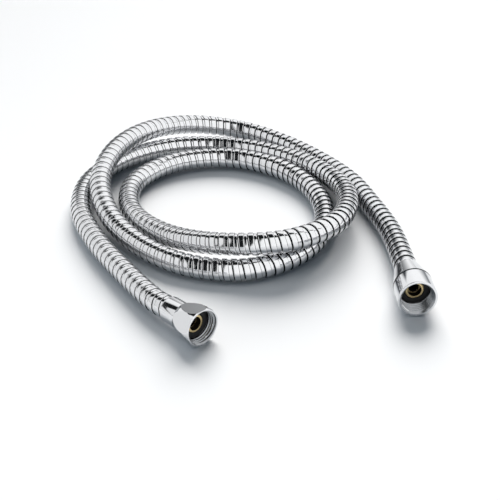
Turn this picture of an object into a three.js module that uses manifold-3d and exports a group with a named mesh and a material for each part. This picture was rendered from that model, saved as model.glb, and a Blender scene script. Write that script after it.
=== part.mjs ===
// A metal shower hose that lies on a floor in a loose coil: a double-lock steel winding over a rubber tube, with
// a brass core, a crimped ferrule, a rubber washer and a free-spinning nut with a G 1/2 thread at each end.
// Millimetres, +Z up, the floor is z = 0. Depths are measured from a nut's rim, back along the nut's axis.
import * as THREE from "three";
import { mergeVertices } from "three/addons/utils/BufferGeometryUtils.js";
import Module from "manifold-3d";

const wasm = await Module();
wasm.setup();

// Clearances and facets
const CLEARANCE = 0.3; // between pieces that touch
const SPIN_CLEARANCE = 0.35; // between a nut and what it turns on
const ROUND_SIDES = 36;
const DOME_STEPS = 7;

// Hose
const HOSE_RADIUS = 7.25;
const WINDING_WALL = 1.5;
const TUBE_WALL = 1.4;
const WINDING_SIDES = 12;
const TUBE_SIDES = 8;
const ROUTE_STEPS = 80;

// G 1/2 pipe thread, washer, brass core and ferrule, alike at both ends
const THREAD_MINOR_RADIUS = 9.32;
const THREAD_MAJOR_RADIUS = 10.48;
const LEAD_IN_DEPTH = 1.1;
const WASHER_RADIUS = 9.0;
const WASHER_THICKNESS = 1.8;
const NOSE_RADIUS = 5.5;
const NOSE_BORE_RADIUS = 3.95;
const NOSE_BORE_DEPTH = 4.0;
const FLANGE_RADIUS = 8.8;
const FLANGE_THICKNESS = 1.4;
const STEM_BORE_RADIUS = 2.4;
const STEM_WALL = 0.75;
const STEM_LENGTH = 14;
const BARB_COUNT = 2;
const BARB_PITCH = 4.5;
const BARB_HEIGHT = 0.35;
const BARB_RAMP = 2.5;
const FERRULE_WALL = 0.4;
const FERRULE_EDGE = 0.2;

// Domed hexagon nut at the tap end
const TAP_NUT_LENGTH = 16.5;
const TAP_NUT_RADIUS = 11.95;
const TAP_NUT_RIM_RADIUS = 11.4;
const TAP_NUT_RIM_CHAMFER = 0.5;
const TAP_NUT_WIDEST_DEPTH = 3.2;
const TAP_NUT_REAR_WALL = 0.5;
const TAP_FLATS = 6;
const TAP_FLAT_RIM_DISTANCE = 11.1; // from the axis to a milled flat, at the rim
const TAP_FLAT_REAR_INSET = 0.1; // how far a flat cuts into the nut's rear edge
const TAP_WASHER_DEPTH = 6.5;
const TAP_FERRULE_END_DEPTH = 28.5;

// Smooth conical nut at the handset end
const HANDSET_NUT_LENGTH = 32.5;
const HANDSET_NUT_RADIUS = 11.8;
const HANDSET_RIM_CHAMFER = 0.4;
const HANDSET_GROOVE_DEPTH = 14.8;
const HANDSET_GROOVE_WIDTH = 0.8;
const HANDSET_GROOVE_CUT = 0.4;
const HANDSET_NECK_WALL = 0.65;
const HANDSET_NECK_LENGTH = 6.5;
const HANDSET_WASHER_DEPTH = 10;
const HANDSET_FERRULE_GAP = 0.6; // from the ferrule's end to the neck's shoulder

// Where each rim lies, which way it faces (degrees from -Y towards +X, and up), and the depths of the four
// route points that keep the hose straight behind it
const TAP_RIM = { x: -19.6, y: -135.6, heading: 43.5, tilt: 2.5, straight: [21, 32, 42.2] };
const HANDSET_RIM = { x: 104.75, y: -108, heading: 3.7, tilt: 2, straight: [25.5, 37, 47.2] };

// The hose's route over the floor, from the tap end to the handset end. It passes over itself twice.
const ROUTE = [
  [-72, -69, 8],
  [-93, -31.5, 7.5],
  [-107.5, 8.5, 7.5],
  [-106.5, 50.5, 7.5],
  [-85, 86.5, 7.5],
  [-48.5, 107, 7.5],
  [-7, 107, 7.5],
  [30.5, 88, 9],
  [58.5, 55, 12.5],
  [72, 13, 17],
  [63, -31, 21],
  [30.5, -59, 23],
  [-13, -56, 19],
  [-48.5, -30.5, 11.5],
  [-73, 6, 8],
  [-74.5, 47.5, 7.5],
  [-48, 79, 8],
  [-7, 86.5, 8],
  [30, 67.5, 8],
  [52.5, 32.5, 7.5],
  [56.5, -9, 7.5],
  [40, -46.5, 7.5],
  [6.5, -67.5, 7.5],
  [-32.5, -62.5, 7.5],
  [-65.5, -38, 9],
  [-87.5, -4.5, 12.5],
  [-96.5, 34, 18],
  [-89, 73, 22.5],
  [-68.5, 107.5, 21],
  [-38, 132, 14.5],
  [-0.5, 134.5, 9],
  [32, 113, 7.5],
  [58, 83, 7.5],
  [78, 49.5, 8],
  [90, 13, 8],
  [98.5, -23.5, 9],
];

// Sizes that follow from the ones above
const tubeOuterRadius = HOSE_RADIUS - WINDING_WALL - CLEARANCE;
const tubeBoreRadius = tubeOuterRadius - TUBE_WALL;
const stemRadius = STEM_BORE_RADIUS + STEM_WALL;
const ferruleBoreRadius = HOSE_RADIUS + CLEARANCE;
const ferruleRadius = ferruleBoreRadius + FERRULE_WALL;
const sleeveBoreRadius = ferruleRadius + SPIN_CLEARANCE;
const neckBoreRadius = HOSE_RADIUS + SPIN_CLEARANCE;
const flangePocketRadius = FLANGE_RADIUS + SPIN_CLEARANCE;
const noseHoleRadius = NOSE_RADIUS + CLEARANCE;
const grooveEnd = HANDSET_GROOVE_DEPTH + HANDSET_GROOVE_WIDTH;
const neckStart = HANDSET_NUT_LENGTH - HANDSET_NECK_LENGTH;

// The depths of what lies behind a washer, from the washer's front face.
function stackDepths(washerDepth) {
  const flangeFront = washerDepth + WASHER_THICKNESS + CLEARANCE;
  const flangeBack = flangeFront + FLANGE_THICKNESS;
  return { washerDepth, flangeFront, flangeBack, hoseEnd: flangeBack + CLEARANCE };
}

const tapDepths = stackDepths(TAP_WASHER_DEPTH);
const handsetDepths = stackDepths(HANDSET_WASHER_DEPTH);

// Materials
const plated = new THREE.MeshStandardMaterial({ color: 0xe4e8ec, roughness: 0.08, metalness: 1 });
const steel = new THREE.MeshStandardMaterial({ color: 0xd6dade, roughness: 0.16, metalness: 1 });
const brass = new THREE.MeshStandardMaterial({ color: 0xd9be86, roughness: 0.3, metalness: 1 });
const blackRubber = new THREE.MeshStandardMaterial({ color: 0x1a1b1c, roughness: 0.7, metalness: 0 });
const tubeRubber = new THREE.MeshStandardMaterial({ color: 0x3a3a38, roughness: 0.6, metalness: 0 });

// Turns an outline of [depth, radius] points about the nut's axis, which is local Z with the rim at z = 0. The
// outline runs from the rear over the outside to the rim, and back through the bore.
function turned(outline) {
  const points = outline.map(([depth, radius]) => new THREE.Vector2(radius, -depth));
  points.push(points[0].clone());
  return new THREE.LatheGeometry(points, ROUND_SIDES).rotateX(Math.PI / 2);
}

// A closed geometry as a solid that can be cut.
function solidOf(geometry) {
  const bare = new THREE.BufferGeometry();
  bare.setAttribute("position", geometry.getAttribute("position"));
  bare.setIndex(geometry.getIndex());
  const merged = mergeVertices(bare, 1e-4);
  return new wasm.Manifold(
    new wasm.Mesh({
      numProp: 3,
      vertProperties: merged.attributes.position.array,
      triVerts: new Uint32Array(merged.index.array),
    }),
  );
}

function geometryOf(solid) {
  const mesh = solid.getMesh();
  const geometry = new THREE.BufferGeometry();
  geometry.setAttribute("position", new THREE.BufferAttribute(mesh.vertProperties, 3));
  geometry.setIndex(new THREE.BufferAttribute(mesh.triVerts, 1));
  geometry.computeVertexNormals();
  return geometry;
}

// The threaded socket's inner outline, from the rim to the shoulder that the core's flange bears on. The fine
// thread itself isn't cut: the socket has its minor radius.
function socketOutline(depths) {
  return [
    [0, THREAD_MAJOR_RADIUS],
    [LEAD_IN_DEPTH, THREAD_MINOR_RADIUS],
    [depths.flangeFront - CLEARANCE / 2, THREAD_MINOR_RADIUS],
    [depths.flangeFront - CLEARANCE / 2, flangePocketRadius],
    [depths.hoseEnd, flangePocketRadius],
    [depths.hoseEnd, sleeveBoreRadius],
  ];
}

// The domed nut, with its flats milled at a slant from the rim to the rear edge.
function makeTapNut() {
  const rearRadius = sleeveBoreRadius + TAP_NUT_REAR_WALL;
  const domeLength = TAP_NUT_LENGTH - TAP_NUT_WIDEST_DEPTH;
  const dome = [];
  for (let i = DOME_STEPS; i >= 0; i--) {
    const share = i / DOME_STEPS;
    const rise = (TAP_NUT_RADIUS - rearRadius) * Math.cos((share * Math.PI) / 2);
    dome.push([TAP_NUT_WIDEST_DEPTH + share * domeLength, rearRadius + rise]);
  }
  const body = turned([
    ...dome,
    [TAP_NUT_RIM_CHAMFER, TAP_NUT_RIM_RADIUS + TAP_NUT_RIM_CHAMFER / 2],
    [0, TAP_NUT_RIM_RADIUS],
    ...socketOutline(tapDepths),
    [TAP_NUT_LENGTH, sleeveBoreRadius],
  ]);
  const toCorner = 1 / Math.cos(Math.PI / TAP_FLATS);
  const flatRearDistance = rearRadius - TAP_FLAT_REAR_INSET;
  const flatted = new THREE.CylinderGeometry(
    TAP_FLAT_RIM_DISTANCE * toCorner,
    flatRearDistance * toCorner,
    TAP_NUT_LENGTH,
    TAP_FLATS,
    1,
    false,
    Math.PI / TAP_FLATS,
  );
  flatted.rotateX(Math.PI / 2).translate(0, 0, -TAP_NUT_LENGTH / 2);
  return geometryOf(solidOf(body).intersect(solidOf(flatted)));
}

// The conical nut: a plain cylinder at the rim, a turned groove, and a cone down to the neck.
function makeHandsetNut() {
  const grooveRadius = HANDSET_NUT_RADIUS - HANDSET_GROOVE_CUT;
  return turned([
    [HANDSET_NUT_LENGTH, neckBoreRadius + HANDSET_NECK_WALL],
    [grooveEnd, HANDSET_NUT_RADIUS],
    [grooveEnd, grooveRadius],
    [HANDSET_GROOVE_DEPTH, grooveRadius],
    [HANDSET_GROOVE_DEPTH, HANDSET_NUT_RADIUS],
    [HANDSET_RIM_CHAMFER, HANDSET_NUT_RADIUS],
    [0, HANDSET_NUT_RADIUS - HANDSET_RIM_CHAMFER],
    ...socketOutline(handsetDepths),
    [neckStart, sleeveBoreRadius],
    [neckStart, neckBoreRadius],
    [HANDSET_NUT_LENGTH, neckBoreRadius],
  ]);
}

function makeWasher(depths) {
  const back = depths.washerDepth + WASHER_THICKNESS;
  return turned([
    [back, WASHER_RADIUS],
    [depths.washerDepth, WASHER_RADIUS],
    [depths.washerDepth, noseHoleRadius],
    [back, noseHoleRadius],
  ]);
}

// The brass core: a nose that carries the washer, a flange that the nut pulls on, and a barbed stem in the tube.
function makeCore(depths) {
  const stemEnd = depths.flangeBack + STEM_LENGTH;
  const barbs = [];
  for (let i = 0; i < BARB_COUNT; i++) {
    const root = stemEnd - i * BARB_PITCH;
    barbs.push([root, stemRadius]);
    barbs.push([root - BARB_RAMP, stemRadius + BARB_HEIGHT]);
    barbs.push([root - BARB_RAMP, stemRadius]);
  }
  return turned([
    ...barbs,
    [depths.flangeBack, stemRadius],
    [depths.flangeBack, FLANGE_RADIUS],
    [depths.flangeFront, FLANGE_RADIUS],
    [depths.flangeFront, NOSE_RADIUS],
    [depths.washerDepth, NOSE_RADIUS],
    [depths.washerDepth, NOSE_BORE_RADIUS],
    [depths.washerDepth + NOSE_BORE_DEPTH, NOSE_BORE_RADIUS],
    [depths.washerDepth + NOSE_BORE_DEPTH, STEM_BORE_RADIUS],
    [stemEnd, STEM_BORE_RADIUS],
  ]);
}

function makeFerrule(depths, endDepth) {
  return turned([
    [endDepth, ferruleBoreRadius],
    [endDepth, ferruleRadius - FERRULE_EDGE],
    [endDepth - FERRULE_EDGE, ferruleRadius],
    [depths.hoseEnd, ferruleRadius],
    [depths.hoseEnd, ferruleBoreRadius],
  ]);
}

// A frame at a rim: local Z points out of the nut, and local Y points up.
function rimFrame(rim, height) {
  const heading = THREE.MathUtils.degToRad(rim.heading);
  const tilt = THREE.MathUtils.degToRad(rim.tilt);
  const out = new THREE.Vector3(
    Math.sin(heading) * Math.cos(tilt),
    -Math.cos(heading) * Math.cos(tilt),
    Math.sin(tilt),
  );
  const side = new THREE.Vector3(0, 0, 1).cross(out).normalize();
  const up = new THREE.Vector3().crossVectors(out, side);
  return new THREE.Matrix4().makeBasis(side, up, out).setPosition(rim.x, rim.y, height);
}

// The tap nut rests on the rim end of its lowest flat, the handset nut on the front edge of its cone.
const tapTilt = THREE.MathUtils.degToRad(TAP_RIM.tilt);
const handsetTilt = THREE.MathUtils.degToRad(HANDSET_RIM.tilt);
const tapFrame = rimFrame(TAP_RIM, TAP_FLAT_RIM_DISTANCE * Math.cos(tapTilt));
const handsetFrame = rimFrame(
  HANDSET_RIM,
  HANDSET_NUT_RADIUS * Math.cos(handsetTilt) + grooveEnd * Math.sin(handsetTilt),
);

const onAxis = (frame, depth) => new THREE.Vector3(0, 0, -depth).applyMatrix4(frame);

const route = new THREE.CatmullRomCurve3(
  [
    ...[tapDepths.hoseEnd, ...TAP_RIM.straight].map((depth) => onAxis(tapFrame, depth)),
    ...ROUTE.map(([x, y, z]) => new THREE.Vector3(x, y, z)),
    ...[handsetDepths.hoseEnd, ...HANDSET_RIM.straight].reverse().map((depth) => onAxis(handsetFrame, depth)),
  ],
  false,
  "centripetal",
);
route.arcLengthDivisions = 4000;

// A pipe along the route, from its outer and inner radius.
function makePipe(outerRadius, boreRadius, sides) {
  const ring = (radius) => {
    const points = [];
    for (let i = 0; i < sides; i++) {
      const angle = (i * 2 * Math.PI) / sides;
      points.push(new THREE.Vector2(radius * Math.cos(angle), radius * Math.sin(angle)));
    }
    return points;
  };
  const section = new THREE.Shape(ring(outerRadius));
  section.holes.push(new THREE.Path(ring(boreRadius).reverse()));
  return new THREE.ExtrudeGeometry(section, { steps: ROUTE_STEPS, extrudePath: route });
}

// Assembly
const hose = new THREE.Group();
const tapEnd = new THREE.Group();
const handsetEnd = new THREE.Group();
tapEnd.applyMatrix4(tapFrame);
handsetEnd.applyMatrix4(handsetFrame);
hose.add(tapEnd, handsetEnd);

function addMesh(parent, name, geometry, material) {
  const mesh = new THREE.Mesh(geometry, material);
  mesh.name = name;
  parent.add(mesh);
}

addMesh(hose, "outer_winding", makePipe(HOSE_RADIUS, HOSE_RADIUS - WINDING_WALL, WINDING_SIDES), steel);
addMesh(hose, "inner_tube", makePipe(tubeOuterRadius, tubeBoreRadius, TUBE_SIDES), tubeRubber);
addMesh(tapEnd, "tap_nut", makeTapNut(), plated);
addMesh(tapEnd, "tap_washer", makeWasher(tapDepths), blackRubber);
addMesh(tapEnd, "tap_core", makeCore(tapDepths), brass);
addMesh(tapEnd, "tap_ferrule", makeFerrule(tapDepths, TAP_FERRULE_END_DEPTH), plated);
addMesh(handsetEnd, "handset_nut", makeHandsetNut(), plated);
addMesh(handsetEnd, "handset_washer", makeWasher(handsetDepths), blackRubber);
addMesh(handsetEnd, "handset_core", makeCore(handsetDepths), brass);
addMesh(handsetEnd, "handset_ferrule", makeFerrule(handsetDepths, neckStart - HANDSET_FERRULE_GAP), plated);

export default hose;
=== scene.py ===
"""A chrome-plated metal shower hose in a loose coil, with a domed nut and a conical nut at its ends.

Metres, +Z up, the floor at z = 0. A depth is measured from a nut's rim, back along the nut's axis.
"""

import math

import bmesh
import bpy
import numpy as np
from mathutils import Matrix, Vector


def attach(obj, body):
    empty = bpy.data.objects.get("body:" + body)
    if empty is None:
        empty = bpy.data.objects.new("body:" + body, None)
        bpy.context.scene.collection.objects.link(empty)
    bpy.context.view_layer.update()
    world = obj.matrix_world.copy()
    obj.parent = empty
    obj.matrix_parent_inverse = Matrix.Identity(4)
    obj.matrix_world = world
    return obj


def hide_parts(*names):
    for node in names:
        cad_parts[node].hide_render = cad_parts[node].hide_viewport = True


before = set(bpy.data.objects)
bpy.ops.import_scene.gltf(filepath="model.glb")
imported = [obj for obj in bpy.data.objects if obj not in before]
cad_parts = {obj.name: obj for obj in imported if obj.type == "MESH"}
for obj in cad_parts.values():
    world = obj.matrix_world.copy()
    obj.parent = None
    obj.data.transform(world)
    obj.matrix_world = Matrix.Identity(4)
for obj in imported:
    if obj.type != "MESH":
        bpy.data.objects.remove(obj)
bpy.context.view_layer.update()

MM = 0.001

# Tolerances of the mesh work
WELD_DISTANCE = 0.002 * MM
SHORTEST_EDGE = 0.001 * MM
CUT_TOLERANCE = 0.0001 * MM

# Camera: it looks along +Y and down, from the photograph's distance
CAMERA_PLACE = (0.0069, -0.6327, 0.3609)
CAMERA_PITCH = math.radians(31)
CAMERA_LENS = 77.76

# Hose
HOSE_RADIUS = 7.25 * MM
HOSE_BORE_RADIUS = 5.75 * MM
STRIP_PITCH = 5.9 * MM
STRIP_SIDES = 18
STRIP_HAND = -1  # the way the strip winds: 1 like a right-hand screw, -1 like a left-hand one
BORE_STEP = 12 * MM
SAMPLES_PER_SPAN = 60

# The double-lock strip across one turn, as (offset along the hose, radius, painted shade from 0 to 1).
# It has a wide folded band, a deep gap painted near black as shade, and a narrow lower band that ends
# under the next turn.
STRIP_BAND = [
    (0.00 * MM, 6.84 * MM, 0.9),
    (0.05 * MM, 7.08 * MM, 0.3),
    (0.15 * MM, 7.19 * MM, 0.0),
    (0.28 * MM, 7.235 * MM, 0.0),
    (0.60 * MM, 7.25 * MM, 0.0),
    (3.00 * MM, 7.25 * MM, 0.0),
    (3.32 * MM, 7.235 * MM, 0.0),
    (3.44 * MM, 7.17 * MM, 0.1),
    (3.55 * MM, 6.98 * MM, 0.6),
    (3.60 * MM, 6.00 * MM, 1.0),
]
STRIP_SLIDE = [
    (3.96 * MM, 6.00 * MM, 1.0),
    (4.02 * MM, 6.44 * MM, 0.5),
    (4.14 * MM, 6.57 * MM, 0.1),
    (4.32 * MM, 6.63 * MM, 0.0),
    (4.70 * MM, 6.66 * MM, 0.0),
    (5.60 * MM, 6.70 * MM, 0.0),
    (5.80 * MM, 6.71 * MM, 0.3),
]
STRIP_END_RADIUS = 6.9 * MM

# G 1/2 pipe thread, washer, brass core and ferrule, alike at both ends
THREAD_MINOR_RADIUS = 9.32 * MM
THREAD_MAJOR_RADIUS = 10.48 * MM
THREAD_PITCH = 1.814 * MM
# From this radius outwards the thread's roots are dull, and are also painted a darker grey as shade
THREAD_ROOT_RADIUS = 9.6 * MM  # the plating is dull from here outwards
# The thread's section over one pitch, as (share of the pitch, share of the height)
THREAD_FORM = [(0.0, 0.06), (0.08, 0.0), (0.16, 0.06), (0.42, 0.9), (0.5, 1.0), (0.66, 1.0), (0.74, 0.9)]
LEAD_IN_DEPTH = 1.1 * MM
NUT_SIDES = 96
CLEARANCE = 0.3 * MM
WASHER_RADIUS = 9.0 * MM
WASHER_HOLE_RADIUS = 5.8 * MM
WASHER_THICKNESS = 1.8 * MM
WASHER_ROUNDING = 0.25 * MM
NOSE_RADIUS = 5.5 * MM
NOSE_BORE_RADIUS = 3.95 * MM
NOSE_BORE_DEPTH = 4.0 * MM
NOSE_CHAMFER = 0.25 * MM
FLANGE_RADIUS = 8.8 * MM
FLANGE_THICKNESS = 1.4 * MM
FLANGE_POCKET_RADIUS = 9.15 * MM
STEM_BORE_RADIUS = 2.4 * MM
STEM_RADIUS = 3.15 * MM
STEM_LENGTH = 14 * MM
BARB_COUNT = 2
BARB_PITCH = 4.5 * MM
BARB_HEIGHT = 0.35 * MM
BARB_RAMP = 2.5 * MM
FERRULE_BORE_RADIUS = 7.55 * MM
FERRULE_RADIUS = 7.95 * MM
FERRULE_EDGE = 0.2 * MM
SLEEVE_BORE_RADIUS = 8.3 * MM
ARC_STEPS = 5

# Domed nut at the tap end, with flats milled from the rim to the rear edge
TAP_NUT_LENGTH = 16.5 * MM
TAP_NUT_RADIUS = 11.95 * MM
TAP_NUT_RIM_RADIUS = 11.4 * MM
TAP_NUT_RIM_CHAMFER = 0.5 * MM
TAP_NUT_WIDEST_DEPTH = 3.2 * MM
TAP_NUT_REAR_RADIUS = 8.8 * MM
TAP_FLATS = 6
TAP_FLAT_RIM_DISTANCE = 11.1 * MM
TAP_FLAT_REAR_DISTANCE = 8.7 * MM
TAP_WASHER_DEPTH = 6.5 * MM
TAP_THREAD_END_HEIGHT = 0.25 * MM  # the height that the thread has left where it ends
TAP_THREAD_TAPER = 0.14  # its rise from there to the rim, so that its root stays inside the flats
TAP_FERRULE_END_DEPTH = 28.5 * MM
DOME_STEPS = 28

# Conical nut at the handset end
HANDSET_NUT_LENGTH = 32.5 * MM
HANDSET_NUT_RADIUS = 11.8 * MM
HANDSET_RIM_CHAMFER = 0.4 * MM
HANDSET_GROOVE_DEPTH = 14.3 * MM
HANDSET_GROOVE_WIDTH = 1.3 * MM
HANDSET_GROOVE_CUT = 0.9 * MM
# The groove's faces inside this radius get the dull plating with its painted shade
GROOVE_DULL_SHADED_RADIUS = 11.6 * MM
HANDSET_NECK_RADIUS = 8.25 * MM
HANDSET_NECK_BORE_RADIUS = 7.6 * MM
HANDSET_NECK_LENGTH = 6.5 * MM
HANDSET_WASHER_DEPTH = 10 * MM
HANDSET_FERRULE_END_DEPTH = 25.4 * MM

# Where each rim lies, which way it faces in degrees, and the depths of the route points behind it
TAP_RIM = {"x": -0.0196, "y": -0.1356, "heading": 43.5, "tilt": 2.5, "straight": (0.021, 0.032, 0.0422)}
HANDSET_RIM = {"x": 0.10475, "y": -0.108, "heading": 3.7, "tilt": 2, "straight": (0.0255, 0.037, 0.0472)}

# The hose's route over the floor, from the tap end to the handset end
ROUTE = [
    (-0.0720, -0.0690, 0.0080),
    (-0.0930, -0.0315, 0.0075),
    (-0.1075, 0.0085, 0.0075),
    (-0.1065, 0.0505, 0.0075),
    (-0.0850, 0.0865, 0.0075),
    (-0.0485, 0.1070, 0.0075),
    (-0.0070, 0.1070, 0.0075),
    (0.0305, 0.0880, 0.0090),
    (0.0585, 0.0550, 0.0125),
    (0.0720, 0.0130, 0.0170),
    (0.0630, -0.0310, 0.0210),
    (0.0305, -0.0590, 0.0230),
    (-0.0130, -0.0560, 0.0190),
    (-0.0485, -0.0305, 0.0115),
    (-0.0730, 0.0060, 0.0080),
    (-0.0745, 0.0475, 0.0075),
    (-0.0480, 0.0790, 0.0080),
    (-0.0070, 0.0865, 0.0080),
    (0.0300, 0.0675, 0.0080),
    (0.0525, 0.0325, 0.0075),
    (0.0565, -0.0090, 0.0075),
    (0.0400, -0.0465, 0.0075),
    (0.0065, -0.0675, 0.0075),
    (-0.0325, -0.0625, 0.0075),
    (-0.0655, -0.0380, 0.0090),
    (-0.0875, -0.0045, 0.0125),
    (-0.0965, 0.0340, 0.0180),
    (-0.0890, 0.0730, 0.0225),
    (-0.0685, 0.1075, 0.0210),
    (-0.0380, 0.1320, 0.0145),
    (-0.0005, 0.1345, 0.0090),
    (0.0320, 0.1130, 0.0075),
    (0.0580, 0.0830, 0.0075),
    (0.0780, 0.0495, 0.0080),
    (0.0900, 0.0130, 0.0080),
    (0.0985, -0.0235, 0.0090),
]

# Stage
FLOOR_SIZE = 12
# Two wide lamps that mirrors don't see. Angles are in degrees, aside to the right of straight behind.
BACK_LAMP = {"strength": 4.9, "elevation": 34, "aside": 6, "width": 46}
TOP_LAMP = {"strength": 0.35, "elevation": 90, "aside": 0, "width": 40}
LAMP_COLOUR = (1, 0.975, 0.95)

# The white tent that the plating mirrors. Over is the angle from the far horizon (0), over the top, to the
# near one (pi), and x is how far right a direction points, from -1 to 1.
TENT_LEFT = (0.92, 0.925, 0.93, 1)
TENT_RIGHT = (1.22, 1.22, 1.22, 1)
TENT_DARK = (0.012, 0.013, 0.014, 1)
TENT_SHADOW = (0.07, 0.077, 0.084, 1)
TENT_GREY = (0.32, 0.335, 0.35, 1)
FILL_LEFT = (0.5, 0.56, 0.61, 1)  # what matt surfaces get from the tent
FILL_RIGHT = (0.035, 0.055, 0.075, 1)
LEFT_TO_RIGHT = (-0.9, 0.0)  # the x where the left colour ends, and where the right one is full

# The edges of the forms on the tent are soft. Each is given as (where the form starts, where it is full).
FLAP_TOP = (0.48, 0.14)  # over
FLAP_LEFT = (0.05, 0.4)  # x
GAP_TOP = (0.53, 0.46)  # over
GAP_RIGHT = (0.1, -0.26)  # x
GAP_LEFT = (-0.55, -0.45)  # x

# The slot in the tent runs overhead, with its middle line at x = SLOT_MIDDLE + SLOT_LEAN * over
SLOT_MIDDLE = -0.02
SLOT_LEAN = -0.14
SLOT_HALF_WIDTH = 0.17
SLOT_SIDE = (SLOT_HALF_WIDTH + 0.02, SLOT_HALF_WIDTH - 0.02)  # distance from the middle line
SLOT_FAR_END = (0.87, 0.92)  # over

# The seam crosses the slot. Its middle line runs from SEAM_LEFT to SEAM_RIGHT, each as (x, over). It is a
# wedge, and its half width goes from SEAM_WIDE to SEAM_NARROW, each as (distance from the widest x, width).
SEAM_LEFT = (-0.65, 1.0)
SEAM_RIGHT = (-0.15, 1.38)
SEAM_WIDEST_X = -0.2
SEAM_WIDE = (SLOT_HALF_WIDTH, 0.34)
SEAM_NARROW = (0.65, 0.05)
SEAM_SIDE = (1.2, 0.85)  # share of the half width
SEAM_RIGHT_END = (0.9, 0.75)  # x


def linear(hex_colour):
    """An sRGB hex colour as the linear colour that a shader takes."""
    channels = [int(hex_colour[i : i + 2], 16) / 255 for i in (1, 3, 5)]
    return tuple(c / 12.92 if c <= 0.04045 else ((c + 0.055) / 1.055) ** 2.4 for c in channels) + (1,)


def add_node(tree, kind, inputs=None, **settings):
    """Adds a node, sets its properties, and fills its inputs with values or with other nodes' sockets.

    A colour mix takes its factor in input 0 and its two colours in inputs 6 and 7.
    """
    node = tree.nodes.new(kind)
    for name, value in settings.items():
        setattr(node, name, value)
    for key, value in (inputs or {}).items():
        if isinstance(value, bpy.types.NodeSocket):
            tree.links.new(value, node.inputs[key])
        else:
            node.inputs[key].default_value = value
    return node


def empty_material(name):
    """A new material and its node tree, with no node in it yet."""
    material = bpy.data.materials.new(name)
    material.use_nodes = True
    material.node_tree.nodes.clear()
    return material, material.node_tree


# Materials


def polished_chrome_plate():
    """Chrome electroplated on turned brass and buffed: a near mirror, slightly wavy from the polishing."""
    cloud_size = 3.85 * MM  # soft patches that the buffing wheel leaves a little duller
    wave_size = 8.33 * MM  # shallow waves where the wheel took off more
    material, tree = empty_material("polished_chrome_plate")
    place = add_node(tree, "ShaderNodeTexCoord").outputs["Object"]
    clouds = add_node(tree, "ShaderNodeTexNoise", {"Vector": place, "Scale": 1 / cloud_size, "Detail": 3.0})
    waves = add_node(tree, "ShaderNodeTexNoise", {"Vector": place, "Scale": 1 / wave_size, "Detail": 1.0})
    roughness = add_node(
        tree, "ShaderNodeMapRange", {"Value": clouds.outputs["Fac"], "To Min": 0.035, "To Max": 0.085}
    )
    bump = add_node(
        tree, "ShaderNodeBump", {"Height": waves.outputs["Fac"], "Strength": 0.06, "Distance": 0.4 * MM}
    )
    shader = add_node(
        tree,
        "ShaderNodeBsdfPrincipled",
        {
            "Base Color": linear("#E0E1E3"),
            "Metallic": 1.0,
            "Roughness": roughness.outputs["Result"],
            "Normal": bump.outputs["Normal"],
        },
    )
    add_node(tree, "ShaderNodeOutputMaterial", {"Surface": shader.outputs[0]})
    return material


def plated_rolled_strip():
    """Stainless strip, cold rolled, folded and chrome plated: bright, with fine lines along the strip, and
    painted near black down in the gap and on its walls, as painted shade.

    The strip attribute holds the millimetres along and across the strip, and its painted shade from 0 to 1.
    """
    # Real rolling lines are too fine to show, so these are drawn coarser, in the attribute's millimetres
    line_length = 20
    line_width = 1 / 3
    material, tree = empty_material("plated_rolled_strip")
    strip = add_node(tree, "ShaderNodeAttribute", attribute_name="strip").outputs["Vector"]
    split = add_node(tree, "ShaderNodeSeparateXYZ", {"Vector": strip})
    line_scale = (1 / line_length, 1 / line_width, 0.0)
    lines_place = add_node(tree, "ShaderNodeMapping", {"Vector": strip, "Scale": line_scale})
    lines = add_node(
        tree, "ShaderNodeTexNoise", {"Vector": lines_place.outputs["Vector"], "Scale": 1.0, "Detail": 4.0}
    )
    roughness = add_node(
        tree, "ShaderNodeMapRange", {"Value": lines.outputs["Fac"], "To Min": 0.05, "To Max": 0.16}
    )
    bump = add_node(
        tree, "ShaderNodeBump", {"Height": lines.outputs["Fac"], "Strength": 0.1, "Distance": 0.05 * MM}
    )
    # Painted shade: the strip goes from bright plate to near black where its attribute marks the gap and its
    # walls
    shade_share = add_node(
        tree, "ShaderNodeMapRange", {"Value": split.outputs["Z"], "From Min": 0.05, "From Max": 0.6}
    )
    colour = add_node(
        tree,
        "ShaderNodeMix",
        {0: shade_share.outputs["Result"], 6: linear("#DEDFE1"), 7: linear("#1B1D20")},
        data_type="RGBA",
    )
    shader = add_node(
        tree,
        "ShaderNodeBsdfPrincipled",
        {
            "Base Color": colour.outputs[2],
            "Metallic": 1.0,
            "Roughness": roughness.outputs["Result"],
            "Normal": bump.outputs["Normal"],
        },
    )
    add_node(tree, "ShaderNodeOutputMaterial", {"Surface": shader.outputs[0]})
    return material


def unbuffed_shaded_chrome_plate():
    """The same plating where no buffing wheel reaches, in the thread's roots, behind the thread and in the
    groove: thin and dull, and painted a darker grey as painted shade in these hollows."""
    cloud_size = 2 * MM
    material, tree = empty_material("unbuffed_shaded_chrome_plate")
    place = add_node(tree, "ShaderNodeTexCoord").outputs["Object"]
    clouds = add_node(tree, "ShaderNodeTexNoise", {"Vector": place, "Scale": 1 / cloud_size, "Detail": 3.0})
    colour = add_node(
        tree,
        "ShaderNodeMix",
        {0: clouds.outputs["Fac"], 6: linear("#85888B"), 7: linear("#A2A5A8")},
        data_type="RGBA",
    )
    shader = add_node(
        tree,
        "ShaderNodeBsdfPrincipled",
        {"Base Color": colour.outputs[2], "Metallic": 1.0, "Roughness": 0.25},
    )
    add_node(tree, "ShaderNodeOutputMaterial", {"Surface": shader.outputs[0]})
    return material


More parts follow.
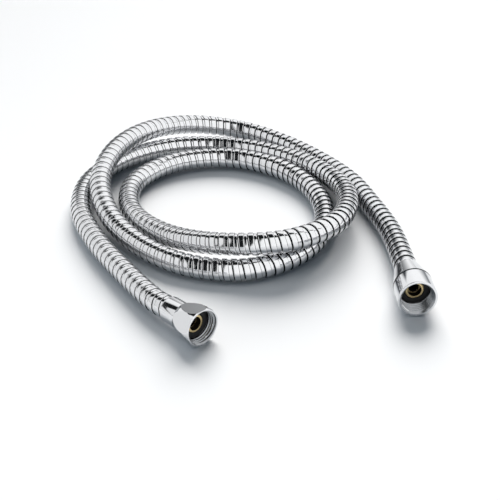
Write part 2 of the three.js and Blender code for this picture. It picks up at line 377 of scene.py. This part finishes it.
def tarnished_shaded_brass():
    """Brass in the water way, brown and dull from standing water, with small stains, and painted near black
    as painted shade deep in the bore.
    """
    stain_size = 1.11 * MM
    material, tree = empty_material("tarnished_shaded_brass")
    place = add_node(tree, "ShaderNodeTexCoord").outputs["Object"]
    stain = add_node(tree, "ShaderNodeTexNoise", {"Vector": place, "Scale": 1 / stain_size, "Detail": 4.0})
    colour = add_node(
        tree,
        "ShaderNodeMix",
        {0: stain.outputs["Fac"], 6: linear("#0E0905"), 7: linear("#1C130B")},
        data_type="RGBA",
    )
    shader = add_node(
        tree,
        "ShaderNodeBsdfPrincipled",
        {"Base Color": colour.outputs[2], "Roughness": 0.8, "Specular IOR Level": 0.15},
    )
    add_node(tree, "ShaderNodeOutputMaterial", {"Surface": shader.outputs[0]})
    return material


def turned_brass():
    """Free-cutting brass, turned and left bare: pale gold and satin, with spots of light tarnish. The rings
    that the tool leaves are too fine to show, so they are left out."""
    spot_size = 1.43 * MM
    material, tree = empty_material("turned_brass")
    place = add_node(tree, "ShaderNodeTexCoord").outputs["Object"]
    tarnish = add_node(tree, "ShaderNodeTexNoise", {"Vector": place, "Scale": 1 / spot_size, "Detail": 4.0})
    colour = add_node(
        tree,
        "ShaderNodeMix",
        {0: tarnish.outputs["Fac"], 6: linear("#EAD9AE"), 7: linear("#D4B980")},
        data_type="RGBA",
    )
    bump = add_node(
        tree, "ShaderNodeBump", {"Height": tarnish.outputs["Fac"], "Strength": 0.15, "Distance": 0.05 * MM}
    )
    shader = add_node(
        tree,
        "ShaderNodeBsdfPrincipled",
        {
            "Base Color": colour.outputs[2],
            "Metallic": 1.0,
            "Roughness": 0.34,
            "Normal": bump.outputs["Normal"],
        },
    )
    add_node(tree, "ShaderNodeOutputMaterial", {"Surface": shader.outputs[0]})
    return material


def moulded_rubber(name, hex_colour, roughness):
    """EPDM rubber, moulded or extruded: matt, with a fine even grain."""
    grain_size = 0.4 * MM  # the real grain is finer, and this is as coarse as it needs to show
    material, tree = empty_material(name)
    place = add_node(tree, "ShaderNodeTexCoord").outputs["Object"]
    grain = add_node(tree, "ShaderNodeTexNoise", {"Vector": place, "Scale": 1 / grain_size, "Detail": 3.0})
    uneven = add_node(
        tree,
        "ShaderNodeMapRange",
        {"Value": grain.outputs["Fac"], "To Min": roughness - 0.08, "To Max": roughness + 0.08},
    )
    bump = add_node(
        tree, "ShaderNodeBump", {"Height": grain.outputs["Fac"], "Strength": 0.25, "Distance": 0.05 * MM}
    )
    shader = add_node(
        tree,
        "ShaderNodeBsdfPrincipled",
        {
            "Base Color": linear(hex_colour),
            "Roughness": uneven.outputs["Result"],
            "IOR": 1.5,
            "Normal": bump.outputs["Normal"],
        },
    )
    add_node(tree, "ShaderNodeOutputMaterial", {"Surface": shader.outputs[0]})
    return material


def glossy_white_floor():
    """White acrylic sheet: plain, with a faint blurred reflection."""
    material, tree = empty_material("glossy_white_floor")
    shader = add_node(
        tree,
        "ShaderNodeBsdfPrincipled",
        {"Base Color": linear("#F4F5F6"), "Roughness": 0.3, "IOR": 1.4},
    )
    add_node(tree, "ShaderNodeOutputMaterial", {"Surface": shader.outputs[0]})
    return material


# Geometry


def route_samples():
    """The hose's centreline as close points, and each point's distance along the hose.

    It is a centripetal Catmull-Rom spline through the rims' straight points and the route.
    """
    tap_depths = (HOSE_END["tap"], *TAP_RIM["straight"])
    handset_depths = (HOSE_END["handset"], *HANDSET_RIM["straight"])
    tap_end = [on_axis(TAP_FRAME, depth) for depth in tap_depths]
    handset_end = [on_axis(HANDSET_FRAME, depth) for depth in handset_depths]
    knots = [np.array(p) for p in (*tap_end, *ROUTE, *reversed(handset_end))]
    knots = [2 * knots[0] - knots[1], *knots, 2 * knots[-1] - knots[-2]]
    points = []
    for p0, p1, p2, p3 in zip(knots, knots[1:], knots[2:], knots[3:]):
        d0, d1, d2 = (math.sqrt(np.linalg.norm(b - a)) for a, b in ((p0, p1), (p1, p2), (p2, p3)))
        leave = ((p1 - p0) / d0 - (p2 - p0) / (d0 + d1) + (p2 - p1) / d1) * d1
        arrive = ((p2 - p1) / d1 - (p3 - p1) / (d1 + d2) + (p3 - p2) / d2) * d1
        for i in range(SAMPLES_PER_SPAN):
            t = i / SAMPLES_PER_SPAN
            bend = -3 * p1 + 3 * p2 - 2 * leave - arrive
            close = 2 * p1 - 2 * p2 + leave + arrive
            points.append(p1 + t * (leave + t * (bend + t * close)))
    points.append(knots[-2])
    points = np.array(points)
    along = np.concatenate([[0], np.cumsum(np.linalg.norm(np.diff(points, axis=0), axis=1))])
    return points, along


def rim_frame(rim, height):
    """A frame at a rim: local Z points out of the nut, and local Y points up."""
    heading, tilt = math.radians(rim["heading"]), math.radians(rim["tilt"])
    out = Vector(
        (math.sin(heading) * math.cos(tilt), -math.cos(heading) * math.cos(tilt), math.sin(tilt))
    )
    side = Vector((0, 0, 1)).cross(out).normalized()
    up = out.cross(side)
    turn = Matrix((side, up, out)).transposed().to_4x4()
    return Matrix.Translation((rim["x"], rim["y"], height)) @ turn


def on_axis(rim, depth):
    """The point of a nut's axis at a depth behind its rim."""
    return rim @ Vector((0, 0, -depth))


def arc(centre, radius, start, end, steps=ARC_STEPS):
    """Points of an arc in an outline, from one angle to another in degrees. Angle 0 is outwards, and 90 is
    towards the rim."""
    points = []
    for i in range(steps + 1):
        angle = math.radians(start + (end - start) * i / steps)
        points.append((centre[0] - radius * math.sin(angle), centre[1] + radius * math.cos(angle)))
    return points


def add_rings(bm, outline, closed):
    """Turns an outline of (depth, radius) points about the nut's axis. Local Z is out of the nut."""
    rings = []
    for depth, radius in outline:
        ring = []
        for j in range(NUT_SIDES):
            angle = 2 * math.pi * j / NUT_SIDES
            ring.append(bm.verts.new((radius * math.cos(angle), radius * math.sin(angle), -depth)))
        rings.append(ring)
    pairs = list(zip(rings, rings[1:] + rings[:1])) if closed else list(zip(rings, rings[1:]))
    for ring, following in pairs:
        for j in range(NUT_SIDES):
            k = (j + 1) % NUT_SIDES
            bm.faces.new((ring[j], ring[k], following[k], following[j]))


def add_thread(bm, end_depth, root_end, root_taper):
    """A right-hand internal thread from the rim to a depth.

    The lead-in cone cuts it back at the rim. The taper makes it shallower, down to the root's height at the
    end, where it runs out into the minor radius.
    """
    height = THREAD_MAJOR_RADIUS - THREAD_MINOR_RADIUS
    turns = math.ceil(end_depth / THREAD_PITCH) + 1
    columns = []
    for c in range(turns * NUT_SIDES + 1):
        angle = 2 * math.pi * (c % NUT_SIDES) / NUT_SIDES
        column = []
        for share, rise in THREAD_FORM:
            depth = (c / NUT_SIDES - 1 + share) * THREAD_PITCH
            depth = min(max(depth, 0), end_depth)
            radius = THREAD_MINOR_RADIUS + rise * height
            lead_in = THREAD_MAJOR_RADIUS - height * depth / LEAD_IN_DEPTH
            left = end_depth - depth
            run_out = THREAD_MINOR_RADIUS + min(left, root_end + root_taper * left)
            radius = min(max(radius, lead_in), run_out) if depth > 0 else THREAD_MAJOR_RADIUS
            column.append(bm.verts.new((radius * math.cos(angle), -radius * math.sin(angle), -depth)))
        columns.append(column)
    last = len(THREAD_FORM) - 1
    for c in range(len(columns) - 1):
        here, beside = columns[c], columns[c + 1]
        for k in range(last):
            bm.faces.new((here[k], here[k + 1], beside[k + 1], beside[k]))
        if c + 1 + NUT_SIDES < len(columns):
            below, below_beside = columns[c + NUT_SIDES], columns[c + 1 + NUT_SIDES]
            bm.faces.new((here[last], below[0], below_beside[0], beside[last]))


def close_mesh(bm):
    """Joins points that lie on each other, drops what that flattens, and turns all faces out and smooth."""
    bmesh.ops.remove_doubles(bm, verts=bm.verts, dist=WELD_DISTANCE)
    bmesh.ops.dissolve_degenerate(bm, edges=bm.edges, dist=SHORTEST_EDGE)
    loose = [v for v in bm.verts if not v.link_faces]
    bmesh.ops.delete(bm, geom=loose, context="VERTS")
    bmesh.ops.recalc_face_normals(bm, faces=bm.faces)
    for face in bm.faces:
        face.smooth = True


def give_second_finish(bm, depths, radii):
    """Gives the faces between two depths and between two radii the piece's second material."""
    for face in bm.faces:
        middle = face.calc_center_median()
        if depths[0] < -middle.z < depths[1] and radii[0] < middle.xy.length < radii[1]:
            face.material_index = 1


def add_piece(name, bm, materials, body, node, sharp_angle=35):
    """Makes an object of a mesh, smooth but for its sharp edges, that stands for a CAD node."""
    mesh = bpy.data.meshes.new(name)
    bm.to_mesh(mesh)
    bm.free()
    mesh.set_sharp_from_angle(angle=math.radians(sharp_angle))
    for material in materials:
        mesh.materials.append(material)
    piece = bpy.data.objects.new(name, mesh)
    bpy.context.scene.collection.objects.link(piece)
    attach(piece, body)
    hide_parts(node)
    return piece


def socket_rest(washer_depth):
    """A nut's inner outline behind its thread, down to the bore that turns on the ferrule."""
    shoulder = washer_depth + WASHER_THICKNESS + CLEARANCE / 2
    pocket_end = washer_depth + WASHER_THICKNESS + FLANGE_THICKNESS + 2 * CLEARANCE
    return [
        (shoulder, THREAD_MINOR_RADIUS),
        (shoulder, FLANGE_POCKET_RADIUS),
        (pocket_end, FLANGE_POCKET_RADIUS),
        (pocket_end, SLEEVE_BORE_RADIUS),
    ]


def make_domed_nut(materials):
    """The tap nut: a dome with six slanting flats, and a threaded socket."""
    thread_end = TAP_WASHER_DEPTH + WASHER_THICKNESS / 2
    dome_length = TAP_NUT_LENGTH - TAP_NUT_WIDEST_DEPTH
    rise = TAP_NUT_RADIUS - TAP_NUT_REAR_RADIUS
    dome = []
    for i in range(DOME_STEPS, -1, -1):
        share = i / DOME_STEPS
        depth = TAP_NUT_WIDEST_DEPTH + share * dome_length
        dome.append((depth, TAP_NUT_REAR_RADIUS + rise * math.cos(share * math.pi / 2)))
    rim_edge = arc(
        (TAP_NUT_RIM_CHAMFER, TAP_NUT_RIM_RADIUS - TAP_NUT_RIM_CHAMFER / 2), TAP_NUT_RIM_CHAMFER, 20, 90
    )
    outline = [
        (thread_end, THREAD_MINOR_RADIUS),
        *socket_rest(TAP_WASHER_DEPTH),
        (TAP_NUT_LENGTH, SLEEVE_BORE_RADIUS),
        *dome,
        *rim_edge,
        (0, THREAD_MAJOR_RADIUS),
    ]
    bm = bmesh.new()
    add_rings(bm, outline, closed=False)
    add_thread(bm, thread_end, TAP_THREAD_END_HEIGHT, TAP_THREAD_TAPER)
    close_mesh(bm)
    slope = (TAP_FLAT_RIM_DISTANCE - TAP_FLAT_REAR_DISTANCE) / TAP_NUT_LENGTH
    for i in range(TAP_FLATS):
        angle = math.pi / 2 + 2 * math.pi * i / TAP_FLATS
        out = Vector((math.cos(angle), math.sin(angle), 0))
        cut = bmesh.ops.bisect_plane(
            bm,
            geom=bm.verts[:] + bm.edges[:] + bm.faces[:],
            dist=CUT_TOLERANCE,
            plane_co=out * TAP_FLAT_RIM_DISTANCE,
            plane_no=(out - Vector((0, 0, slope))).normalized(),
            clear_outer=True,
        )
        edges = [e for e in cut["geom_cut"] if isinstance(e, bmesh.types.BMEdge)]
        for flat in bmesh.ops.edgenet_fill(bm, edges=edges)["faces"]:
            flat.smooth = False
    bmesh.ops.recalc_face_normals(bm, faces=bm.faces)
    # The thread's roots and the socket behind the thread get the dull plating with its painted shade
    give_second_finish(bm, (0, thread_end), (THREAD_ROOT_RADIUS, THREAD_MAJOR_RADIUS))
    give_second_finish(bm, (thread_end - THREAD_PITCH, TAP_NUT_LENGTH), (0, THREAD_ROOT_RADIUS))
    bm.transform(TAP_FRAME)
    return add_piece("domed_nut", bm, materials, "tap_nut", "tap_nut", sharp_angle=14)


def make_conical_nut(materials):
    """The handset nut: a plain cylinder at the rim, a turned groove, and a cone down to the neck."""
    thread_end = HANDSET_WASHER_DEPTH + WASHER_THICKNESS / 2
    neck_start = HANDSET_NUT_LENGTH - HANDSET_NECK_LENGTH
    groove_end = HANDSET_GROOVE_DEPTH + HANDSET_GROOVE_WIDTH
    groove_radius = HANDSET_NUT_RADIUS - HANDSET_GROOVE_CUT
    rim_edge = arc(
        (HANDSET_RIM_CHAMFER, HANDSET_NUT_RADIUS - HANDSET_RIM_CHAMFER), HANDSET_RIM_CHAMFER, 0, 90
    )
    outline = [
        (thread_end, THREAD_MINOR_RADIUS),
        *socket_rest(HANDSET_WASHER_DEPTH),
        (neck_start, SLEEVE_BORE_RADIUS),
        (neck_start, HANDSET_NECK_BORE_RADIUS),
        (HANDSET_NUT_LENGTH, HANDSET_NECK_BORE_RADIUS),
        (HANDSET_NUT_LENGTH, HANDSET_NECK_RADIUS),
        (groove_end, HANDSET_NUT_RADIUS),
        (groove_end, groove_radius),
        (HANDSET_GROOVE_DEPTH, groove_radius),
        (HANDSET_GROOVE_DEPTH, HANDSET_NUT_RADIUS),
        *rim_edge,
        (0, THREAD_MAJOR_RADIUS),
    ]
    bm = bmesh.new()
    add_rings(bm, outline, closed=False)
    add_thread(bm, thread_end, THREAD_MAJOR_RADIUS - THREAD_MINOR_RADIUS, 0)
    close_mesh(bm)
    # The thread's roots, the socket behind the thread and the groove get the dull plating with its painted
    # shade
    give_second_finish(bm, (0, thread_end), (THREAD_ROOT_RADIUS, THREAD_MAJOR_RADIUS))
    give_second_finish(bm, (thread_end - THREAD_PITCH, neck_start), (0, THREAD_ROOT_RADIUS))
    groove_depths = (HANDSET_GROOVE_DEPTH - MM, groove_end + MM)
    give_second_finish(bm, groove_depths, (groove_radius - MM, GROOVE_DULL_SHADED_RADIUS))
    bm.transform(HANDSET_FRAME)
    return add_piece(
        "conical_nut", bm, materials, "handset_nut", "handset_nut", sharp_angle=28
    )


def make_washer(name, node, rim, depth, material):
    """A flat washer with rounded edges, whose front face lies at the depth."""
    back = depth + WASHER_THICKNESS
    round_off = WASHER_ROUNDING
    outline = [
        *arc((back - round_off, WASHER_RADIUS - round_off), round_off, -90, 0),
        *arc((depth + round_off, WASHER_RADIUS - round_off), round_off, 0, 90),
        *arc((depth + round_off, WASHER_HOLE_RADIUS + round_off), round_off, 90, 180),
        *arc((back - round_off, WASHER_HOLE_RADIUS + round_off), round_off, 180, 270),
    ]
    bm = bmesh.new()
    add_rings(bm, outline, closed=True)
    close_mesh(bm)
    bm.transform(rim)
    return add_piece(name, bm, [material], "hose", node)


def make_core(name, node, rim, washer_depth, materials):
    """The brass core: a nose that carries the washer, a flange that the nut pulls on, and a barbed stem."""
    flange_front = washer_depth + WASHER_THICKNESS + CLEARANCE
    flange_back = flange_front + FLANGE_THICKNESS
    stem_end = flange_back + STEM_LENGTH
    outline = []
    for i in range(BARB_COUNT):
        root = stem_end - i * BARB_PITCH
        outline.append((root, STEM_RADIUS))
        outline.append((root - BARB_RAMP, STEM_RADIUS + BARB_HEIGHT))
        outline.append((root - BARB_RAMP, STEM_RADIUS))
    outline += [
        (flange_back, STEM_RADIUS),
        (flange_back, FLANGE_RADIUS),
        (flange_front, FLANGE_RADIUS),
        (flange_front, NOSE_RADIUS),
        (washer_depth + NOSE_CHAMFER, NOSE_RADIUS),
        (washer_depth, NOSE_RADIUS - NOSE_CHAMFER),
        (washer_depth, NOSE_BORE_RADIUS + NOSE_CHAMFER),
        (washer_depth + NOSE_CHAMFER, NOSE_BORE_RADIUS),
        (washer_depth + NOSE_BORE_DEPTH, NOSE_BORE_RADIUS),
        (washer_depth + NOSE_BORE_DEPTH, STEM_BORE_RADIUS),
        (stem_end, STEM_BORE_RADIUS),
    ]
    bm = bmesh.new()
    add_rings(bm, outline, closed=True)
    close_mesh(bm)
    # The bore gets the tarnished brass, which is painted near black as shade in the hollow
    give_second_finish(bm, (washer_depth, stem_end), (0, NOSE_BORE_RADIUS + NOSE_CHAMFER))
    bm.transform(rim)
    return add_piece(name, bm, materials, "hose", node)


def make_ferrule(name, node, rim, hose_end, end_depth, material):
    """A thin sleeve over the hose's end, with a rounded rear edge."""
    edge = FERRULE_EDGE
    outline = [
        (end_depth, FERRULE_BORE_RADIUS),
        *arc((end_depth - edge, FERRULE_RADIUS - edge), edge, -90, 0),
        (hose_end, FERRULE_RADIUS),
        (hose_end, FERRULE_BORE_RADIUS),
    ]
    bm = bmesh.new()
    add_rings(bm, outline, closed=True)
    close_mesh(bm)
    bm.transform(rim)
    return add_piece(name, bm, [material], "hose", node)


def winding_points(points, along, distance, radius, turn):
    """Points round the centreline, from distances along it, radii and turns, and the ways that they lie."""
    centre = np.stack([np.interp(distance, along, points[:, i]) for i in range(3)], axis=1)
    tangents = np.gradient(points, along, axis=0)
    tangent = np.stack([np.interp(distance, along, tangents[:, i]) for i in range(3)], axis=1)
    tangent /= np.linalg.norm(tangent, axis=1)[:, None]
    side = np.cross(tangent, (0, 0, 1))
    side /= np.linalg.norm(side, axis=1)[:, None]
    up = np.cross(side, tangent)
    away = np.cos(turn)[:, None] * side + np.sin(turn)[:, None] * up
    return centre + radius[:, None] * away, away


def make_winding(points, along, material):
    """The double-lock strip, wound round the centreline in one helix.

    On the inside of a bend its narrow band slides in, and on the outside it slides out, so each wide band
    keeps its width.
    """
    length = along[-1]
    turns = math.ceil(length / STRIP_PITCH) + 1
    columns = turns * STRIP_SIDES + 1
    strip = np.array(STRIP_BAND + STRIP_SLIDE)
    rows = len(strip)
    middle = (STRIP_BAND[0][0] + STRIP_BAND[-1][0]) / 2

    column = np.arange(columns)
    turn = STRIP_HAND * 2 * np.pi * (column % STRIP_SIDES) / STRIP_SIDES
    base = (column / STRIP_SIDES - 1) * STRIP_PITCH
    bend = np.gradient(np.gradient(points, along, axis=0), along, axis=0)
    band_place = np.clip(base + middle, 0, length)
    inward = np.stack([np.interp(band_place, along, bend[:, i]) for i in range(3)], axis=1)
    away = winding_points(points, along, band_place, np.zeros(columns), turn)[1]
    stretch = 1 - HOSE_RADIUS * np.sum(inward * away, axis=1)

    offset = np.tile(strip[:, 0], (columns, 1))
    wide = len(STRIP_BAND)
    band_start = middle + (strip[0, 0] - middle) / stretch
    band_end = middle + (strip[wide - 1, 0] - middle) / stretch
    offset[:, :wide] = middle + (strip[:wide, 0] - middle) / stretch[:, None]
    share = (strip[wide:, 0] - strip[wide - 1, 0]) / (STRIP_PITCH - strip[wide - 1, 0])
    offset[:, wide:] = band_end[:, None] + share * (STRIP_PITCH + band_start - band_end)[:, None]

    distance = (base[:, None] + offset).ravel()
    radius = np.tile(strip[:, 1], columns)
    inside = (distance > 0) & (distance < length)
    radius[~inside] = STRIP_END_RADIUS
    distance = np.clip(distance, 0, length)
    places = winding_points(points, along, distance, radius, np.repeat(turn, rows))[0]

    around = np.repeat(column / STRIP_SIDES * 2 * np.pi * HOSE_RADIUS, rows) / MM
    across = np.tile(strip[:, 0], columns) / MM
    # The painted shade for the gap and its walls, from the strip's table
    painted_shade = np.tile(strip[:, 2], columns)

    faces = []
    for c in range(columns - 1):
        here, beside = c * rows, (c + 1) * rows
        for k in range(rows - 1):
            faces.append((here + k, here + k + 1, beside + k + 1, beside + k))
        if c + 1 + STRIP_SIDES < columns:
            below, below_beside = here + STRIP_SIDES * rows, beside + STRIP_SIDES * rows
            faces.append((here + rows - 1, below, below_beside, beside + rows - 1))

    # The smooth bore that the rubber tube lies in, and the flat ends between it and the strip
    stations = np.linspace(0, length, math.ceil(length / BORE_STEP) + 1)
    bore_turn = STRIP_HAND * 2 * np.pi * np.arange(STRIP_SIDES) / STRIP_SIDES
    bore = [(station, HOSE_BORE_RADIUS) for station in stations]
    rings = [(0, STRIP_END_RADIUS), *bore, (length, STRIP_END_RADIUS)]
    first = len(places)
    bore_distance = np.repeat([s for s, _ in rings], STRIP_SIDES)
    bore_radius = np.repeat([r for _, r in rings], STRIP_SIDES)
    bore_turns = np.tile(bore_turn, len(rings))
    bore_places = winding_points(points, along, bore_distance, bore_radius, bore_turns)[0]
    for i in range(len(rings) - 1):
        for j in range(STRIP_SIDES):
            k = (j + 1) % STRIP_SIDES
            a, b = first + i * STRIP_SIDES, first + (i + 1) * STRIP_SIDES
            faces.append((a + j, b + j, b + k, a + k))

    mesh = bpy.data.meshes.new("strip_winding_raw")
    mesh.from_pydata(np.concatenate([places, bore_places]), [], faces)
    attribute = mesh.attributes.new("strip", "FLOAT_VECTOR", "POINT")
    values = np.zeros((len(mesh.vertices), 3), np.float32)
    values[:first] = np.stack([around, across, painted_shade], axis=1)
    attribute.data.foreach_set("vector", values.ravel())
    bm = bmesh.new()
    bm.from_mesh(mesh)
    bpy.data.meshes.remove(mesh)
    close_mesh(bm)
    return add_piece(
        "strip_winding", bm, [material], "hose", "outer_winding", sharp_angle=60
    )


# Frames of the two rims, and where the hose ends behind each washer
STACK_BEHIND_WASHER = WASHER_THICKNESS + FLANGE_THICKNESS + 2 * CLEARANCE
HOSE_END = {
    "tap": TAP_WASHER_DEPTH + STACK_BEHIND_WASHER,
    "handset": HANDSET_WASHER_DEPTH + STACK_BEHIND_WASHER,
}
TAP_TILT = math.radians(TAP_RIM["tilt"])
HANDSET_TILT = math.radians(HANDSET_RIM["tilt"])
TAP_FRAME = rim_frame(TAP_RIM, TAP_FLAT_RIM_DISTANCE * math.cos(TAP_TILT))
HANDSET_FRAME = rim_frame(
    HANDSET_RIM,
    HANDSET_NUT_RADIUS * math.cos(HANDSET_TILT)
    + (HANDSET_GROOVE_DEPTH + HANDSET_GROOVE_WIDTH) * math.sin(HANDSET_TILT),
)

# Camera
camera = bpy.data.objects.new("camera", bpy.data.cameras.new("camera"))
camera.location = CAMERA_PLACE
camera.rotation_euler = (math.pi / 2 - CAMERA_PITCH, 0, 0)
camera.data.lens = CAMERA_LENS
bpy.context.scene.collection.objects.link(camera)
bpy.context.scene.camera = camera

# The hose and what is on it
chrome = polished_chrome_plate()
nut_finishes = [chrome, unbuffed_shaded_chrome_plate()]
core_finishes = [turned_brass(), tarnished_shaded_brass()]
washer_rubber = moulded_rubber("washer_rubber", "#191A1C", 0.6)
tube_rubber = moulded_rubber("tube_rubber", "#3A3A38", 0.5)

centreline, along_hose = route_samples()
winding = make_winding(centreline, along_hose, plated_rolled_strip())
make_domed_nut(nut_finishes)
make_washer("tap_seal", "tap_washer", TAP_FRAME, TAP_WASHER_DEPTH, washer_rubber)
make_core("tap_nose", "tap_core", TAP_FRAME, TAP_WASHER_DEPTH, core_finishes)
make_ferrule("tap_sleeve", "tap_ferrule", TAP_FRAME, HOSE_END["tap"], TAP_FERRULE_END_DEPTH, chrome)
conical_nut = make_conical_nut(nut_finishes)
handset_seal = make_washer(
    "handset_seal", "handset_washer", HANDSET_FRAME, HANDSET_WASHER_DEPTH, washer_rubber
)
handset_nose = make_core(
    "handset_nose", "handset_core", HANDSET_FRAME, HANDSET_WASHER_DEPTH, core_finishes
)
handset_sleeve = make_ferrule(
    "handset_sleeve",
    "handset_ferrule",
    HANDSET_FRAME,
    HOSE_END["handset"],
    HANDSET_FERRULE_END_DEPTH,
    chrome,
)
inner_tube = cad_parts["inner_tube"]
inner_tube.data.materials.clear()
inner_tube.data.materials.append(tube_rubber)

# Floor
floor_mesh = bpy.data.meshes.new("floor")
half_floor = FLOOR_SIZE / 2
floor_corners = [(x * half_floor, y * half_floor, 0) for x, y in ((-1, -1), (1, -1), (1, 1), (-1, 1))]
floor_mesh.from_pydata(floor_corners, [], [(0, 1, 2, 3)])
floor_mesh.materials.append(glossy_white_floor())
floor = bpy.data.objects.new("floor", floor_mesh)
bpy.context.scene.collection.objects.link(floor)


def hang_tent():
    """A white tent with a dark slot overhead, a dark seam across the slot, and a grey flap and a dim gap low
    at the back.

    Mirrors see the tent as it is, and matt surfaces get a dimmer share of it, next to the lamps' light.
    """
    world = bpy.data.worlds.new("studio")
    bpy.context.scene.world = world
    world.use_nodes = True
    tree = world.node_tree
    tree.nodes.clear()
    direction = add_node(tree, "ShaderNodeTexCoord").outputs["Generated"]
    split = add_node(tree, "ShaderNodeSeparateXYZ", {"Vector": direction})
    x = split.outputs["X"]
    over = add_node(
        tree, "ShaderNodeMath", {0: split.outputs["Z"], 1: split.outputs["Y"]}, operation="ARCTAN2"
    ).outputs[0]
    slot_middle = add_node(
        tree, "ShaderNodeMath", {0: over, 1: SLOT_LEAN, 2: SLOT_MIDDLE}, operation="MULTIPLY_ADD"
    )
    from_slot = add_node(tree, "ShaderNodeMath", {0: x, 1: slot_middle.outputs[0]}, operation="SUBTRACT")
    off_slot = add_node(tree, "ShaderNodeMath", {0: from_slot.outputs[0]}, operation="ABSOLUTE").outputs[0]

    seam_middle = add_node(
        tree,
        "ShaderNodeMapRange",
        {
            "Value": x,
            "From Min": SEAM_LEFT[0],
            "From Max": SEAM_RIGHT[0],
            "To Min": SEAM_LEFT[1],
            "To Max": SEAM_RIGHT[1],
        },
    )
    from_widest = add_node(tree, "ShaderNodeMath", {0: x, 1: SEAM_WIDEST_X}, operation="SUBTRACT")
    off_widest = add_node(tree, "ShaderNodeMath", {0: from_widest.outputs[0]}, operation="ABSOLUTE")
    seam_width = add_node(
        tree,
        "ShaderNodeMapRange",
        {
            "Value": off_widest.outputs[0],
            "From Min": SEAM_WIDE[0],
            "From Max": SEAM_NARROW[0],
            "To Min": SEAM_WIDE[1],
            "To Max": SEAM_NARROW[1],
        },
    )
    from_seam = add_node(
        tree, "ShaderNodeMath", {0: over, 1: seam_middle.outputs["Result"]}, operation="SUBTRACT"
    )
    seam_share = add_node(
        tree,
        "ShaderNodeMath",
        {0: from_seam.outputs[0], 1: seam_width.outputs["Result"]},
        operation="DIVIDE",
    )
    off_seam = add_node(tree, "ShaderNodeMath", {0: seam_share.outputs[0]}, operation="ABSOLUTE").outputs[0]

    rightness = add_node(
        tree,
        "ShaderNodeMapRange",
        {"Value": x, "From Min": LEFT_TO_RIGHT[0], "From Max": LEFT_TO_RIGHT[1]},
    )
    tent, fill = (
        add_node(
            tree, "ShaderNodeMix", {0: rightness.outputs["Result"], 6: left, 7: right}, data_type="RGBA"
        ).outputs[2]
        for left, right in ((TENT_LEFT, TENT_RIGHT), (FILL_LEFT, FILL_RIGHT))
    )

    # The edges of each form, each with what it is measured in
    grey_flap = [(over, FLAP_TOP), (x, FLAP_LEFT)]
    back_gap = [(over, GAP_TOP), (x, GAP_RIGHT), (x, GAP_LEFT)]
    slot = [(off_slot, SLOT_SIDE), (over, SLOT_FAR_END)]
    seam = [(off_seam, SEAM_SIDE), (x, SEAM_RIGHT_END)]
    forms = [(TENT_GREY, grey_flap), (TENT_SHADOW, back_gap), (TENT_DARK, slot), (TENT_DARK, seam)]
    for colour, edges in forms:
        covers = 1.0
        for measure, (start, full) in edges:
            soft_edge = {"Value": measure, "From Min": start, "From Max": full}
            edge = add_node(tree, "ShaderNodeMapRange", soft_edge)
            covers = add_node(
                tree, "ShaderNodeMath", {0: covers, 1: edge.outputs["Result"]}, operation="MULTIPLY"
            ).outputs[0]
        tent = add_node(tree, "ShaderNodeMix", {0: covers, 6: tent, 7: colour}, data_type="RGBA").outputs[2]
    ray = add_node(tree, "ShaderNodeLightPath").outputs
    mirrored = add_node(
        tree, "ShaderNodeMath", {0: ray["Is Camera Ray"], 1: ray["Is Glossy Ray"]}, operation="MAXIMUM"
    ).outputs[0]
    # What the plating throws on the floor comes from the dim share too
    before_matt = add_node(
        tree, "ShaderNodeMath", {0: ray["Diffuse Depth"], 1: 0.5}, operation="LESS_THAN"
    ).outputs[0]
    direct = add_node(
        tree, "ShaderNodeMath", {0: mirrored, 1: before_matt}, operation="MULTIPLY"
    ).outputs[0]
    seen = add_node(tree, "ShaderNodeMix", {0: direct, 6: fill, 7: tent}, data_type="RGBA").outputs[2]
    background = add_node(tree, "ShaderNodeBackground", {"Color": seen})
    add_node(tree, "ShaderNodeOutputWorld", {"Surface": background.outputs[0]})


def add_soft_lamp(name, setup):
    """A wide lamp behind the hose or over it, that mirrors don't see."""
    lamp = bpy.data.lights.new(name, "SUN")
    lamp.energy = setup["strength"]
    lamp.angle = math.radians(setup["width"])
    lamp.color = LAMP_COLOUR
    lamp_object = bpy.data.objects.new(name, lamp)
    lamp_object.rotation_euler = (math.radians(setup["elevation"] - 90), 0, -math.radians(setup["aside"]))
    lamp_object.visible_glossy = False
    bpy.context.scene.collection.objects.link(lamp_object)


hang_tent()
add_soft_lamp("back_lamp", BACK_LAMP)
add_soft_lamp("top_lamp", TOP_LAMP)
bpy.context.scene.view_settings.view_transform = "Standard"

bpy.context.view_layer.update()
